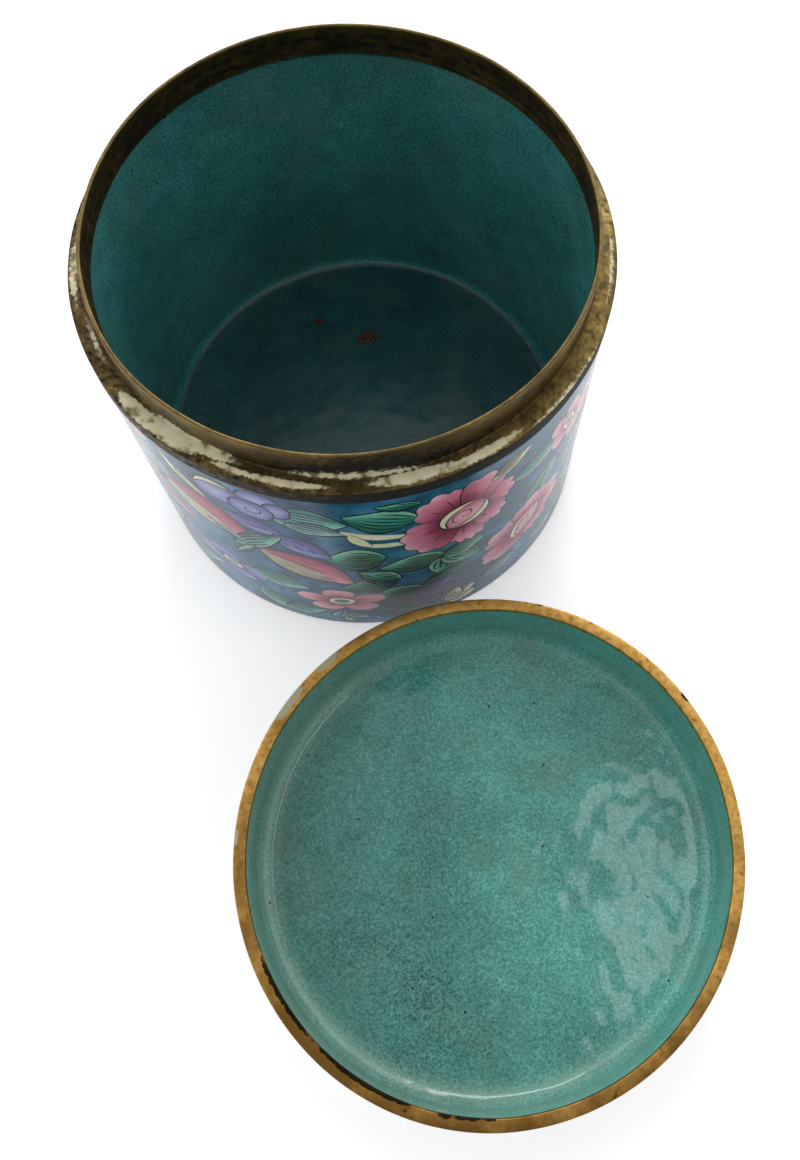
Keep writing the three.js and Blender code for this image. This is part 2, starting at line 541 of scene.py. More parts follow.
def paint_spray(painting, draw, at):
    """One spray of peonies, buds and leaves, where at() carries a point and a direction to their place."""

    def leaf(x, y, turn, long, wide, paint, **more):
        paint_leaf(painting, at(x, y, turn, long, wide), paint, **more)

    def ribbon(start, handle, end, width, colour=CREAM):
        ends = [at(*point).centre for point in (start, handle, end)]
        painting.stroke(curve(*ends), width, colour, 0.2)

    # Leaves and stems that lie behind the flowers
    leaf(-22.0, 66.8, -5, 8.2, 5.8, "sea", bend=0.1, veins=6)
    leaf(-20.5, 62.5, -14, 6.2, 3.0, "grey", bend=0.2)
    leaf(-6.8, 67.6, 161, 8.2, 5.6, "green", bend=0.15, veins=5)
    leaf(-3.4, 73.6, 171, 4.6, 1.9, "green", bend=0.3, veins=3)
    leaf(30.0, 61.4, 5, 7.6, 4.0, "sea", bend=0.1)
    leaf(32.4, 47.6, 44, 6.6, 2.8, "green", bend=0.35, veins=2)
    leaf(35.2, 45.6, 62, 5.0, 2.2, "sea", bend=0.3, veins=2)
    leaf(37.8, 9.6, -20, 5.6, 3.2, "grey")
    leaf(21.8, 12.0, 12, 5.0, 3.6, "grey", bend=0.1)
    leaf(44.0, 44.0, 78, 6.0, 2.8, "grey")
    leaf(-58.0, 63.0, 118, 7.0, 3.4, "grey")
    leaf(-55.5, 12.5, 24, 6.5, 3.6, "sea")
    leaf(-63.0, 27.0, 74, 6.4, 3.2, "grey")
    leaf(45.0, 22.0, 96, 5.4, 2.6, "sea")
    leaf(-13.4, 46.8, 182, 6.6, 6.6, "green", bend=0.1, veins=7)
    leaf(-1.2, 40.4, 184, 7.4, 4.8, "green", bend=0.1, veins=6)
    paint_fan(painting, at(5.8, 38.4, -38, 5.8, 3.8), "green")
    leaf(-11.6, 29.6, 202, 7.6, 4.2, "moss", bend=0.2, veins=5)
    leaf(-8.6, 35.2, 146, 5.4, 3.6, "green", bend=0.2)
    leaf(-5.4, 20.4, 190, 8.2, 6.2, "moss", bend=0.05, veins=7)
    leaf(6.4, 26.0, 28, 6.6, 3.2, "moss", bend=0.1, veins=4)
    leaf(-2.6, 9.8, -22, 6.8, 3.6, "moss", bend=0.1, veins=4)
    leaf(-32.4, 25.6, -10, 7.0, 5.0, "sea", bend=0.1, veins=6)
    leaf(-35.8, 8.4, -50, 6.0, 4.2, "sea", bend=0.1, veins=5)
    leaf(-28.2, 7.4, 20, 5.6, 3.4, "sea", bend=0.1)
    paint_fan(painting, at(-17.4, 8.4, -90, 3.0, 2.4), "grey", 3, 60)
    ribbon((-15.4, 62.8), (-10.0, 58.0), (-0.6, 57.4), 2.4)
    ribbon((-12.2, 55.6), (-7.0, 52.6), (0.2, 53.8), 2.0)
    ribbon((-13.8, 60.6), (-12.6, 57.4), (-9.8, 54.0), 2.4)
    leaf(-50.5, 69.4, 118, 5.8, 1.1, "cream", bend=0.5, veins=0)
    leaf(-46.8, 66.0, 128, 5.0, 0.9, "cream", bend=0.5, veins=0)
    ribbon((-67.0, 57.0), (-62.5, 55.0), (-60.0, 48.5), 1.3)
    ribbon((-66.0, 66.0), (-62.0, 63.0), (-58.6, 57.5), 1.0)

    # Violet blossoms with curled petals
    paint_lobe(painting, at(-31.0, 73.0, 0, 4.2, 3.8), "violet")
    paint_lobe(painting, at(-27.4, 69.8, 0, 2.6, 3.4), "violet")
    paint_lobe(painting, at(-40.2, 70.4, 0, 5.0, 5.0), "violet", crescent=True)
    paint_lobe(painting, at(-33.0, 67.4, -10, 4.6, 4.2), "violet", curl=True)
    leaf(-33.8, 58.6, -16, 6.8, 3.4, "violet", bend=0.1, dashes=True)
    leaf(-24.2, 51.6, -42, 7.4, 3.8, "violet", bend=0.1, dashes=True)
    paint_blossom(painting, at(-45.6, 22.6, -18, 9.6, 6.6), "violet", 4, 0.5)

    # Striped buds that meet at a green calyx
    paint_pod(painting, at(-45.8, 52.4, -26, 11.8, 8.2), "rose")
    paint_pod(painting, at(-24.8, 38.0, -35, 12.0, 6.6))
    leaf(-57.2, 42.6, -16, 6.4, 2.6, "pink", bend=0.1, veins=2)
    leaf(-34.6, 48.8, 46, 9.0, 3.0, "sea", bend=0.05, veins=4)
    leaf(-41.4, 47.4, 150, 5.6, 1.1, "sea", veins=1)
    leaf(-38.6, 40.6, 236, 5.2, 1.0, "sea", veins=1)

    # Peonies and small blossoms
    paint_peony(painting, at(10.4, 58.6, 0, 13.4, 16.6), draw)
    paint_peony(painting, at(28.6, 29.4, 24, 14.4, 11.0), draw, "pink")
    leaf(21.4, 71.2, 26, 5.4, 2.5, "cream", bend=0.05, veins=5)
    paint_blossom(painting, at(40.2, 63.0, 20, 7.4, 9.2), "pink", 5, 1.0, "moss")
    paint_blossom(painting, at(-18.6, 18.0, 4, 11.2, 7.8), "pink", 5, 0.35)
    paint_fan(painting, at(7.2, 5.8, 34, 4.2, 3.0), "cream", 3, 38)
    leaf(4.4, 21.0, 44, 5.0, 2.6, "iris", bend=0.1, veins=2)
    leaf(3.4, 17.4, 12, 5.2, 2.8, "iris", bend=0.1, veins=2)
    leaf(2.2, 11.8, -18, 4.6, 2.6, "iris", bend=0.1, veins=2)
    paint_blossom(painting, at(-60.0, 74.0, 10, 4.0, 3.2), "pink", 5, 0.8)


def triangles_of(painting, left, right, divisions, rows, step=1.6):
    """The painting as one sheet of triangles. Each has its corners and the area that lies on top there."""
    low, high = painting.low, painting.high
    rim = [Vector((left + (right - left) * i / divisions, low)) for i in range(divisions)]
    rim += [Vector((right, low + (high - low) * i / rows)) for i in range(rows)]
    rim += [Vector((right - (right - left) * i / divisions, high)) for i in range(divisions)]
    rim += [Vector((left, high - (high - low) * i / rows)) for i in range(rows)]
    spots = list(rim)
    loops = [list(range(len(rim)))]
    shades = [None]
    span = right - left
    for outline, shade in painting.areas:
        least = min(point.x for point in outline)
        most = max(point.x for point in outline)
        shifts = [0.0] + ([span] if least < left else []) + ([-span] if most > right else [])
        for shift in shifts:
            loops.append(list(range(len(spots), len(spots) + len(outline))))
            spots.extend(point + Vector((shift, 0.0)) for point in outline)
            shades.append((shade, shift))
    height = low + step
    row = 0
    while height < high - 0.5 * step:
        across = left + step * (0.5 + 0.5 * (row % 2))
        while across < right - 0.3 * step:
            spots.append(Vector((across, height)))
            across += step
        height += step * 0.87
        row += 1
    found, _, faces, _, _, inside = delaunay_2d_cdt(spots, [], loops, 1, 1e-5)
    return found, [(face, shades[max(over)]) for face, over in zip(faces, inside) if 0 in over]


def lay_on_wall(shape, painting, radius, depth, rows=40):
    """Wraps a painting round the wall, with its colours on the corners and the wall's true normals kept."""
    half = math.pi * radius / MM
    found, faces = triangles_of(painting, -half, half, WALL_STEPS, rows)
    paint = shape.loops.layers.float_color.new("paint")
    upright = shape.loops.layers.float_vector.new("upright")
    verts = []
    for point in found:
        angle = point.x / half * math.pi - math.pi / 2
        verts.append(shape.verts.new((radius * math.cos(angle), radius * math.sin(angle), point.y * MM)))
    for vert in verts:
        flat = Vector((vert.co.x, vert.co.y, 0.0)).normalized()
        if painting.low + 0.2 < vert.co.z / MM < painting.high - 0.2:
            vert.co += flat * hand_raised(vert.co, depth)
    for corners, top in faces:
        if len(set(corners)) < 3:
            continue
        face = shape.faces.new([verts[i] for i in corners])
        for loop, i in zip(face.loops, corners):
            if top is None:
                loop[paint] = (0.0, 0.0, 0.0, 0.0)
            else:
                shade, shift = top
                loop[paint] = (*shade(found[i] - Vector((shift, 0.0))), 1.0)
            co = loop.vert.co
            loop[upright] = Vector((co.x, co.y, 0.0)).normalized()


def keep_true_normals(piece):
    """Gives the wrapped wall its true normals, so that fine triangles don't show in its gloss."""
    mesh = piece.data
    stored = mesh.attributes["upright"].data
    mesh.normals_split_custom_set([item.vector for item in stored])
    mesh.attributes.remove(mesh.attributes["upright"])


# Materials

PLACE = "ShaderNodeTexCoord"
STORED = "ShaderNodeAttribute"
NOISE = "ShaderNodeTexNoise"
CELLS = "ShaderNodeTexVoronoi"
RAMP = "ShaderNodeValToRGB"
MIX = "ShaderNodeMix"
MATHS = "ShaderNodeMath"
VECTORS = "ShaderNodeVectorMath"
SPLIT = "ShaderNodeSeparateXYZ"
JOIN = "ShaderNodeCombineXYZ"
BUMP = "ShaderNodeBump"
# Sockets of a mix of colours, and its two ways: one colour laid over another, or multiplied with it
FACTOR, FIRST, SECOND, RESULT = 0, 6, 7, 2
OVER = {"data_type": "RGBA"}
TIMES = {"data_type": "RGBA", "blend_type": "MULTIPLY"}


def add(tree, kind, links, out=0, stops=(), **settings):
    """Adds a node and gives one of its outputs. links holds a value or an output for each input."""
    made = tree.nodes.new(kind)
    for name, value in settings.items():
        setattr(made, name, value)
    for key, value in links.items():
        if isinstance(value, bpy.types.NodeSocket):
            tree.links.new(value, made.inputs[key])
        else:
            made.inputs[key].default_value = value
    if stops:
        elements = made.color_ramp.elements
        while len(elements) < len(stops):
            elements.new(1.0)
        for element, (position, colour) in zip(elements, stops):
            element.position = position
            element.color = colour if isinstance(colour, tuple) else (colour, colour, colour, 1.0)
    return made.outputs[out]


def new_material(name):
    """A node material with its shader."""
    material = bpy.data.materials.new(name)
    material.use_nodes = True
    tree = material.node_tree
    return material, tree, tree.nodes["Principled BSDF"]


def per_metre(millimetres):
    """The scale of a pattern whose features measure so many millimetres."""
    return 1.0 / (millimetres * MM)


def painted_enamel(colours):
    """Famille rose enamel on a mottled blue ground, fired glassy: watery colour, a wavering gloss."""
    material, tree, shader = new_material("painted_blue_enamel")
    place = add(tree, PLACE, {}, "Object")
    clouds = add(tree, NOISE, {"Vector": place, "Scale": per_metre(14.0), "Detail": 4.0, "Distortion": 0.6})
    wash = add(tree, NOISE, {"Vector": place, "Scale": per_metre(3.0), "Detail": 4.0})
    grain = add(tree, NOISE, {"Vector": place, "Scale": per_metre(0.7), "Detail": 2.0})
    deep, mid, pale = rgba(colours.ground_deep), rgba(colours.ground_mid), rgba(colours.ground_pale)
    ground = add(tree, RAMP, {"Fac": clouds}, stops=((0.3, deep), (0.5, mid), (0.76, pale)))
    uneven = add(tree, RAMP, {"Fac": wash}, stops=((0.3, 0.66), (0.7, 1.2)))
    ground = add(tree, MIX, {FACTOR: 1.0, FIRST: ground, SECOND: uneven}, RESULT, **TIMES)
    paint = add(tree, STORED, {}, "Color", attribute_name="paint")
    painted = add(tree, STORED, {}, "Alpha", attribute_name="paint")
    thin = add(tree, RAMP, {"Fac": wash}, stops=((0.3, 0.7), (0.7, 1.0)))
    brushed = add(tree, MIX, {FACTOR: 1.0, FIRST: paint, SECOND: thin}, RESULT, **TIMES)
    colour = add(tree, MIX, {FACTOR: painted, FIRST: ground, SECOND: brushed}, RESULT, **OVER)
    fired = add(tree, RAMP, {"Fac": grain}, stops=((0.3, 0.92), (0.7, 1.06)))
    colour = add(tree, MIX, {FACTOR: 1.0, FIRST: colour, SECOND: fired}, RESULT, **TIMES)
    # Worn copper along the foot, in chips up to 2 mm high
    height = add(tree, SPLIT, {0: place}, "Z")
    near_foot = add(tree, MATHS, {0: height, 1: -per_metre(3.0)}, operation="MULTIPLY")
    chipping = add(tree, NOISE, {"Vector": place, "Scale": per_metre(7.0), "Detail": 5.0})
    chips = add(tree, MATHS, {0: near_foot, 1: chipping}, operation="ADD")
    worn = add(tree, RAMP, {"Fac": chips}, stops=((0.27, 0.0), (0.31, 1.0)))
    colour = add(tree, MIX, {FACTOR: worn, FIRST: colour, SECOND: rgba(colours.copper)}, RESULT, **OVER)
    tree.links.new(colour, shader.inputs["Base Color"])
    gloss = add(tree, RAMP, {"Fac": wash}, stops=((0.3, 0.14), (0.7, 0.24)))
    tree.links.new(gloss, shader.inputs["Roughness"])
    shader.inputs["IOR"].default_value = 1.46
    shader.inputs["Specular IOR Level"].default_value = 0.14
    swell = add(tree, NOISE, {"Vector": place, "Scale": per_metre(9.0), "Detail": 2.0})
    ripple = add(tree, BUMP, {"Height": swell, "Distance": 0.12 * MM, "Strength": 1.0})
    skin = add(tree, BUMP, {"Height": wash, "Distance": 0.02 * MM, "Strength": 1.0, "Normal": ripple})
    tree.links.new(skin, shader.inputs["Normal"])
    return material


def plain_enamel(name, tones, gloss, middle, slope=(0.0, 0.0, 0.0), corner=None, spots=()):
    """Plain enamel from dark to pale: clouded, speckled glass with black pinholes and an uneven skin.

    The middle is the vessel's axis, and the corner the radius and half width of a painted highlight line
    round it."""
    material, tree, shader = new_material(name)
    dark, mid, pale = (rgba(tone) for tone in tones)
    place = add(tree, PLACE, {}, "Object")
    clouds = add(tree, NOISE, {"Vector": place, "Scale": per_metre(38.0), "Detail": 3.0})
    # The colour grows darker, with more dark specks, towards one side along the slope
    centred = add(tree, VECTORS, {0: place, 1: tuple(middle)}, operation="SUBTRACT")
    leaning = add(tree, VECTORS, {0: centred, 1: slope}, "Value", operation="DOT_PRODUCT")
    clouds = add(tree, MATHS, {0: clouds, 1: leaning}, operation="ADD")
    patches = add(tree, NOISE, {"Vector": place, "Scale": per_metre(6.0), "Detail": 4.0})
    specks = add(tree, NOISE, {"Vector": place, "Scale": per_metre(0.5), "Detail": 3.0})
    colour = add(tree, RAMP, {"Fac": specks}, stops=((0.28, dark), (0.5, mid), (0.8, pale)))
    # Slow drifts from deep to thin enamel, with brownish copper showing through where it is thinnest
    cloudy = add(tree, RAMP, {"Fac": clouds}, stops=((0.32, 0.78), (0.5, 1.0), (0.68, 1.18)))
    colour = add(tree, MIX, {FACTOR: 1.0, FIRST: colour, SECOND: cloudy}, RESULT, **TIMES)
    patchy = add(tree, RAMP, {"Fac": patches}, stops=((0.3, 0.86), (0.7, 1.12)))
    colour = add(tree, MIX, {FACTOR: 1.0, FIRST: colour, SECOND: patchy}, RESULT, **TIMES)
    through = add(tree, NOISE, {"Vector": place, "Scale": per_metre(17.0), "Detail": 4.0})
    thin = add(tree, RAMP, {"Fac": through}, stops=((0.52, 0.0), (0.75, 0.3)))
    colour = add(tree, MIX, {FACTOR: thin, FIRST: colour, SECOND: rgba("#6b7862")}, RESULT, **OVER)
    gathering = add(tree, MATHS, {0: specks, 1: clouds}, operation="ADD")
    dots = add(tree, RAMP, {"Fac": gathering}, stops=((0.6, 0.45), (0.74, 0.0)))
    colour = add(tree, MIX, {FACTOR: dots, FIRST: colour, SECOND: rgba("#123834")}, RESULT, **OVER)
    if corner:
        # A pale, broken line painted round the rounded corner: a painted highlight where the corner's gloss
        # catches the light
        radius, half = corner
        flat = add(tree, VECTORS, {0: centred, 1: (1.0, 1.0, 0.0)}, operation="MULTIPLY")
        far = add(tree, VECTORS, {0: flat}, "Value", operation="LENGTH")
        rises = ((radius - half, 0.0), (radius, 1.0), (radius + half, 0.0))
        line = add(tree, RAMP, {"Fac": far}, stops=rises)
        broken = add(tree, RAMP, {"Fac": clouds}, stops=((0.38, 1.0), (0.6, 0.15)))
        painted_highlight = add(tree, MATHS, {0: line, 1: broken}, operation="MULTIPLY")
        colour = add(tree, MIX, {FACTOR: painted_highlight, FIRST: colour, SECOND: rgba("#cfe0cc")}, RESULT, **OVER)
    pits = add(tree, CELLS, {"Vector": place, "Scale": per_metre(6.0)}, "Distance")
    holes = add(tree, RAMP, {"Fac": pits}, stops=((0.035, 1.0), (0.06, 0.0)))
    colour = add(tree, MIX, {FACTOR: holes, FIRST: colour, SECOND: rgba("#061615")}, RESULT, **OVER)
    tearing = add(tree, NOISE, {"Vector": place, "Scale": per_metre(1.6), "Detail": 3.0})
    rust = add(tree, RAMP, {"Fac": specks}, stops=((0.4, rgba("#140b08")), (0.6, rgba("#7a4426"))))
    for x, y, z, long, wide in spots:
        shifted = add(tree, VECTORS, {0: place, 1: (-x, -y, -z)}, operation="ADD")
        shrink = (1 / long, 1 / wide, per_metre(10.0))
        scaled = add(tree, VECTORS, {0: shifted, 1: shrink}, operation="MULTIPLY")
        far = add(tree, VECTORS, {0: scaled}, "Value", operation="LENGTH")
        torn = add(tree, MATHS, {0: far, 1: tearing}, operation="ADD")
        spot = add(tree, RAMP, {"Fac": torn}, stops=((0.9, 1.0), (1.0, 0.0)))
        colour = add(tree, MIX, {FACTOR: spot, FIRST: colour, SECOND: rust}, RESULT, **OVER)
    tree.links.new(colour, shader.inputs["Base Color"])
    shine = add(tree, RAMP, {"Fac": patches}, stops=((0.3, gloss), (0.7, 1.6 * gloss)))
    tree.links.new(shine, shader.inputs["Roughness"])
    shader.inputs["IOR"].default_value = 1.48
    swell = add(tree, NOISE, {"Vector": place, "Scale": per_metre(8.0), "Detail": 1.0})
    ripple = add(tree, BUMP, {"Height": swell, "Distance": 0.36 * MM, "Strength": 1.0})
    skin = add(tree, BUMP, {"Height": specks, "Distance": 0.004 * MM, "Strength": 1.0, "Normal": ripple})
    tree.links.new(skin, shader.inputs["Normal"])
    return material


def copper_foot(colours):
    """The copper foot ring where the enamel stops: dull, browned metal."""
    material, tree, shader = new_material("browned_copper")
    place = add(tree, PLACE, {}, "Object")
    stain = add(tree, NOISE, {"Vector": place, "Scale": per_metre(2.5), "Detail": 4.0})
    colour = add(tree, RAMP, {"Fac": stain}, stops=((0.35, rgba("#3a2419")), (0.65, rgba(colours.copper))))
    tree.links.new(colour, shader.inputs["Base Color"])
    shader.inputs["Metallic"].default_value = 0.9
    shader.inputs["Roughness"].default_value = 0.5
    return material


def collar_brass(colours):
    """Hand-finished brass: tarnished brown inside the neck, with painted shade at the neck's front and foot
    and painted light and shade round the band and ledge; rubbed on the lip, crusted on the ledge.
    """
    material, tree, shader = new_material("tarnished_brass")
    place = add(tree, PLACE, {}, "Object")
    bright = add(tree, STORED, {}, "Fac", attribute_name="bright")
    # The dark attribute holds tarnish together with painted light and shade
    dark = add(tree, STORED, {}, "Fac", attribute_name="dark")
    crust = add(tree, STORED, {}, "Fac", attribute_name="crust")
    stain = add(tree, NOISE, {"Vector": place, "Scale": per_metre(6.0), "Detail": 5.0})
    fine = add(tree, NOISE, {"Vector": place, "Scale": per_metre(0.8), "Detail": 4.0})
    olives = ((0.3, rgba("#54472a")), (0.55, rgba(colours.brass)), (0.75, rgba("#94804e")))
    colour = add(tree, RAMP, {"Fac": stain}, stops=olives)
    # Tarnish and painted shade darken the brass together
    uneven = add(tree, MATHS, {0: fine, 1: 0.4, 2: dark}, operation="MULTIPLY_ADD")
    depths = ((0.2, 1.0), (0.72, rgba(colours.brass_dark)), (1.0, rgba("#241d16")))
    tarnish_and_shade = add(tree, RAMP, {"Fac": uneven}, stops=depths)
    colour = add(tree, MIX, {FACTOR: 1.0, FIRST: colour, SECOND: tarnish_and_shade}, RESULT, **TIMES)
    colour = add(tree, MIX, {FACTOR: bright, FIRST: colour, SECOND: rgba("#7d6a3c")}, RESULT, **OVER)
    torn = add(tree, MATHS, {0: crust, 1: fine}, operation="ADD")
    residue = add(tree, RAMP, {"Fac": torn}, stops=((0.7, 0.0), (0.86, 0.3), (0.96, 1.0)))
    curds = add(tree, NOISE, {"Vector": place, "Scale": per_metre(2.6), "Detail": 5.0})
    cakes = ((0.34, rgba("#6f6a4e")), (0.46, rgba(colours.crust)), (0.7, rgba("#dcd7ba")))
    cake = add(tree, RAMP, {"Fac": curds}, stops=cakes)
    colour = add(tree, MIX, {FACTOR: residue, FIRST: colour, SECOND: cake}, RESULT, **OVER)
    tree.links.new(colour, shader.inputs["Base Color"])
    covered = add(tree, MIX, {FACTOR: residue, FIRST: dark, SECOND: rgba("#ffffff")}, RESULT, **OVER)
    bare = add(tree, RAMP, {"Fac": covered}, stops=((0.0, 1.0), (0.86, 0.55), (1.0, 0.0)))
    tree.links.new(bare, shader.inputs["Metallic"])
    rough = add(tree, RAMP, {"Fac": covered}, stops=((0.0, 0.42), (0.5, 0.5), (1.0, 0.85)))
    tree.links.new(rough, shader.inputs["Roughness"])
    hammered = add(tree, BUMP, {"Height": fine, "Distance": 0.05 * MM, "Strength": 0.7})
    tree.links.new(hammered, shader.inputs["Normal"])
    return material


def ring_brass(colours):
    """Brass filed across the ring, browned in places, with dark nicks."""
    material, tree, shader = new_material("brushed_brass")
    place = add(tree, PLACE, {}, "Object")
    centred = add(tree, VECTORS, {0: place, 1: tuple(-LID_AXIS)}, operation="ADD")
    east = add(tree, SPLIT, {0: centred}, "X")
    north = add(tree, SPLIT, {0: centred}, "Y")
    angle = add(tree, MATHS, {0: north, 1: east}, operation="ARCTAN2")
    # File marks run across the ring, about 0.2 mm apart round its edge
    around = add(tree, JOIN, {0: angle, 1: 0.0, 2: 0.0})
    marks = add(tree, NOISE, {"Vector": around, "Scale": 260.0, "Detail": 4.0})
    stain = add(tree, NOISE, {"Vector": place, "Scale": per_metre(9.0), "Detail": 5.0})
    fine = add(tree, NOISE, {"Vector": place, "Scale": per_metre(1.2), "Detail": 5.0})
    scratched = add(tree, MIX, {FACTOR: 0.65, FIRST: marks, SECOND: fine}, RESULT, **OVER)
    golds = ((0.3, rgba("#8a6630")), (0.5, rgba(colours.gilt)), (0.72, rgba("#dcb470")))
    colour = add(tree, RAMP, {"Fac": scratched}, stops=golds)
    # The ring is darker and browner on the side away from the jar
    away = (-per_metre(280.0), -per_metre(170.0), 0.0)
    side = add(tree, VECTORS, {0: centred, 1: away}, "Value", operation="DOT_PRODUCT")
    browning = add(tree, MATHS, {0: side, 1: stain}, operation="ADD")
    brown = add(tree, RAMP, {"Fac": browning}, stops=((0.4, 0.0), (0.85, 0.9)))
    colour = add(tree, MIX, {FACTOR: brown, FIRST: colour, SECOND: rgba("#6b4c22")}, RESULT, **OVER)
    nicks = add(tree, RAMP, {"Fac": fine}, stops=((0.26, 0.8), (0.33, 0.0)))
    colour = add(tree, MIX, {FACTOR: nicks, FIRST: colour, SECOND: rgba("#2a1c0d")}, RESULT, **OVER)
    chipped = add(tree, STORED, {}, "Fac", attribute_name="chipped")
    broken = add(tree, MATHS, {0: chipped, 1: fine}, operation="ADD")
    chips = add(tree, RAMP, {"Fac": broken}, stops=((0.9, 0.0), (1.0, 0.95)))
    colour = add(tree, MIX, {FACTOR: chips, FIRST: colour, SECOND: rgba("#15100a")}, RESULT, **OVER)
    peeled = add(tree, STORED, {}, "Fac", attribute_name="peeled")
    flaking = add(tree, MATHS, {0: peeled, 1: fine}, operation="ADD")
    flakes = add(tree, RAMP, {"Fac": flaking}, stops=((0.95, 0.0), (1.0, 1.0)))
    colour = add(tree, MIX, {FACTOR: flakes, FIRST: colour, SECOND: rgba("#a5a080")}, RESULT, **OVER)
    tree.links.new(colour, shader.inputs["Base Color"])
    bare = add(tree, RAMP, {"Fac": flakes}, stops=((0.0, 1.0), (1.0, 0.0)))
    tree.links.new(bare, shader.inputs["Metallic"])
    rough = add(tree, RAMP, {"Fac": scratched}, stops=((0.3, 0.56), (0.7, 0.36)))
    tree.links.new(rough, shader.inputs["Roughness"])
    filed = add(tree, BUMP, {"Height": scratched, "Distance": 0.03 * MM, "Strength": 0.8})
    tree.links.new(filed, shader.inputs["Normal"])
    return material


# The pieces

# The first spray's left end on the unrolled wall, in mm from the front
SPRAY_LEFT = -68.5


def wall_painting(low, high, radius):
    """Three sprays round the wall: the first as it faces forward, the others turned over and mirrored."""
    painting = Painting(low, high)
    draw = random.Random(11)
    around = TURN * radius / MM
    shift = around / 3
    middle = SPRAY_LEFT + shift / 2
    paint_spray(painting, draw, Place)

    def mirrored(x, y, turn=0.0, long=1.0, wide=1.0):
        return Place(2 * middle - x + shift, y, 180 - turn, long, wide)

    def turned_over(x, y, turn=0.0, long=1.0, wide=1.0):
        return Place(x - shift, low + high - y, -turn, long, wide)

    paint_spray(painting, draw, mirrored)
    paint_spray(painting, draw, turned_over)
    return painting


# Two rust spots on the jar's floor, behind the middle: place from the axis and half extents in mm
RUST_SPOTS = ((-6.0, 34.2, 3.4, 2.6), (6.2, 25.6, 6.4, 3.6))


def make_jar_body(sizes, colours):
    """The copper cylinder: painted outside, turquoise enamel inside and below, a darker floor as painted
    shade, copper at the foot.
    """
    shape = bmesh.new()
    radius = sizes.enamel_radius
    inner = radius - sizes.wall
    floor = sizes.base_recess + sizes.base_thickness
    ledge = sizes.neck_top - sizes.neck_height
    top = ledge - sizes.ledge_thickness - sizes.seam
    rebate = sizes.mount_radius - sizes.band_thickness - sizes.seam
    wall_low = sizes.foot_round
    wall_high = sizes.collar_bottom - sizes.seam
    painting = wall_painting(wall_low / MM, wall_high / MM, radius)
    lay_on_wall(shape, painting, radius, depth=0.16 * MM)
    painted = set(shape.faces)
    foot_inner = radius - sizes.foot_width
    below = [(0.0, sizes.base_recess), (foot_inner - 0.6 * MM, sizes.base_recess), (foot_inner, 0.0)]
    below += arc(radius - sizes.foot_round, sizes.foot_round, sizes.foot_round, -90, 0, 4)
    spin_profile(shape, finer(below, 4 * MM), WALL_STEPS)
    above = [(radius, wall_high), (rebate, wall_high), (rebate, top), (inner, top)]
    above += arc(inner - sizes.floor_fillet, floor + sizes.floor_fillet, sizes.floor_fillet, 0, -90, 8)
    above += [(0.0, floor)]
    inside = bmesh.new()
    spin_profile(inside, finer(above, 3 * MM), WALL_STEPS)
    waver(inside, depth=0.25 * MM, keep=(wall_high,))
    take_in(shape, inside)
    settle(shape)
    for face in shape.faces:
        centre = face.calc_center_median()
        far = math.hypot(centre.x, centre.y)
        if face in painted:
            face.material_index = 0
        elif centre.z < 0.9 * sizes.base_recess and far > foot_inner - 1 * MM:
            face.material_index = 2
        elif floor - 0.1 * MM < centre.z < floor + 0.5 * MM:
            face.material_index = 3
        else:
            face.material_index = 1
    spots = []
    for x, y, long, wide in RUST_SPOTS:
        spots.append((x * MM + JAR_AXIS.x, y * MM + JAR_AXIS.y, floor, long * MM, wide * MM))
    # Partly painted shade: the jar's inside enamel is darker than the lid's
    tones = (colours.jar_dark, colours.jar_mid, colours.jar_pale)
    # Painted shade: the floor's tones are darker than the wall's, for the shade at the bottom of the deep
    # jar
    painted_shade_floor_tones = ("#123d40", "#1b5256", "#336f6d")
    # A painted highlight line round the corner between wall and floor
    jar_corner_highlight = (inner - 0.6 * sizes.floor_fillet, 0.5 * MM)
    materials = [
        painted_enamel(colours),
        plain_enamel("turquoise_enamel_inside", tones, 0.1, JAR_AXIS, corner=jar_corner_highlight),
        copper_foot(colours),
        plain_enamel("turquoise_enamel_floor_painted_shade", painted_shade_floor_tones, 0.2, JAR_AXIS, spots=spots),
    ]
    piece = finish_piece(shape, "enamelled_jar", "jar_body", materials, JAR_AXIS)
    keep_true_normals(piece)
    return piece


# Residue on the ledge: angle in degrees (0 at +X, -90 at the front), radius in mm, half spread in degrees,
# half breadth in mm and amount
RESIDUE = (
    (-149, 53.3, 7, 1.5, 1.0),
    (-141, 52.7, 7, 2.0, 1.0),
    (-133, 51.7, 7, 1.4, 0.95),
    (-126, 53.6, 6, 0.6, 0.8),
    (-116, 53.5, 9, 0.8, 0.85),
    (-102, 51.2, 14, 0.6, 0.75),
    (-90, 53.0, 9, 1.3, 0.9),
    (-76, 53.7, 10, 1.0, 0.85),
    (-52, 54.6, 13, 0.5, 0.5),
    (-20, 53.8, 12, 0.5, 0.42),
    (60, 53.6, 20, 0.6, 0.4),
    (172, 53.8, 9, 0.9, 0.55),
    (-169, 52.4, 7, 0.6, 0.5),
)


# Cream enamel left on the lid's ring, in the same measures, and the dark chips at its inner edge
PEELED = (
    (130, 54.3, 6, 1.1, 1.0),
    (117, 54.2, 5, 0.8, 0.85),
    (163, 54.4, 3, 0.6, 0.7),
)
CHIPPED = (
    (-160, 52.7, 12, 0.5, 0.8),
    (-135, 52.6, 14, 0.6, 0.9),
    (-112, 52.6, 8, 0.4, 0.6),
    (20, 54.9, 1.6, 0.5, 0.8),
    (62, 55.0, 1.2, 0.5, 0.7),
)


def patch_weight(patches, angle, radius):
    """How strongly a place on a ring lies within the patches."""
    weight = 0.0
    for middle, ring, spread, breadth, amount in patches:
        along = ((angle - middle + 180) % 360 - 180) / spread
        across = (radius / MM - ring) / breadth
        weight = max(weight, amount * math.exp(-((along * along + across * across) ** 2)))
    return weight


